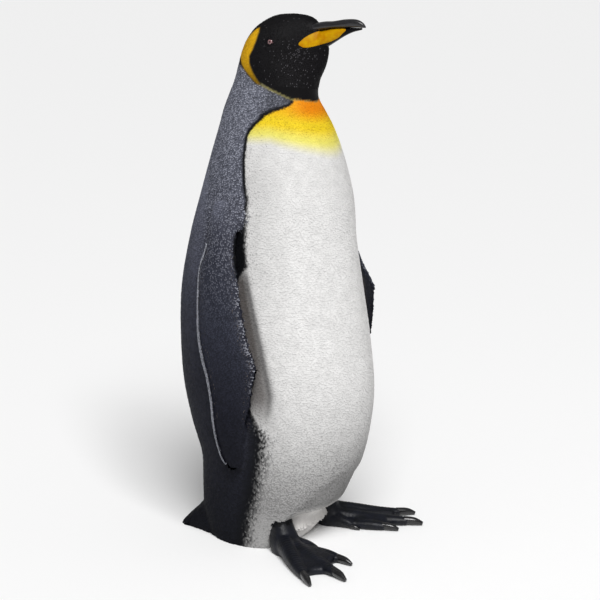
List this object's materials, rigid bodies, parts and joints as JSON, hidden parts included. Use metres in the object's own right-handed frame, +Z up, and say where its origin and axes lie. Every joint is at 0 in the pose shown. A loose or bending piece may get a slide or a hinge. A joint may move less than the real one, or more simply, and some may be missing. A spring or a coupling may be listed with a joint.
{
  "type": "life-size king penguin statue",
  "caption": "Still life-size statue of a standing king penguin, bill raised, one flipper at its side and one held away.",
  "frame": {"origin": "on the bird's middle plane below its upright axis, on the flat underside that rests on the floor", "axes": "+Z up; the bird faces -Y, so its right side is at -X"},
  "size_m": [0.5938, 0.396, 0.921],
  "materials": {
    "plumage_black": "matt black paint over moulded feather tips",
    "plumage_slate": "matt slate paint, dry-brushed paler over moulded feather tips",
    "plumage_white": "matt white paint over moulded feather tips",
    "bill_black": "satin black paint",
    "plate_orange": "satin orange-yellow paint",
    "eye_brown": "gloss",
    "foot_black": "matt blue-black paint over moulded scutes",
    "claw_black": "satin black paint"
  },
  "bodies": {
    "root": {"head": "plumage_black", "neck": "plumage_slate", "trunk": "plumage_white", "tail": "plumage_slate", "leg_right": "plumage_white", "leg_left": "plumage_white", "flipper_right": "plumage_slate", "flipper_left": "plumage_slate", "bill_upper": "bill_black", "bill_lower": "bill_black", "bill_plate_right": "plate_orange", "bill_plate_left": "plate_orange", "eye_right": "eye_brown", "eye_left": "eye_brown", "foot_right": "foot_black", "foot_left": "foot_black", "claw_outer_right": "claw_black", "claw_middle_right": "claw_black", "claw_inner_right": "claw_black", "claw_hind_right": "claw_black", "claw_outer_left": "claw_black", "claw_middle_left": "claw_black", "claw_inner_left": "claw_black", "claw_hind_left": "claw_black"}
  },
  "joints": []
}
